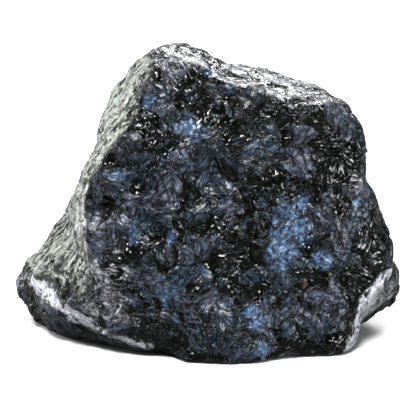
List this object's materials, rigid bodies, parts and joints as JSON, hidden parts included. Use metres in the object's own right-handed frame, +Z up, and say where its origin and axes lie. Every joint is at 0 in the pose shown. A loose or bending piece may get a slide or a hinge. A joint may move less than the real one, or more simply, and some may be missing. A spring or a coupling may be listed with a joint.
{
  "type": "rough indigo gabbro stone",
  "caption": "Rough, unpolished lump of dark indigo gabbro with a broad hackly front face, a peaked top and an undercut ledge, standing on its broken base.",
  "frame": {"origin": "on the base, under the middle of the stone's bounding box", "axes": "+Z up, +X to the right along the stone's length, +Y to the back, so the broad fracture face looks along -Y"},
  "size_m": [0.0656, 0.0402, 0.0487],
  "materials": {
    "gabbro": "rough broken surface with glossy dark grains, grey-violet grains and blue patches"
  },
  "bodies": {
    "root": {"stone": "gabbro"}
  },
  "joints": []
}
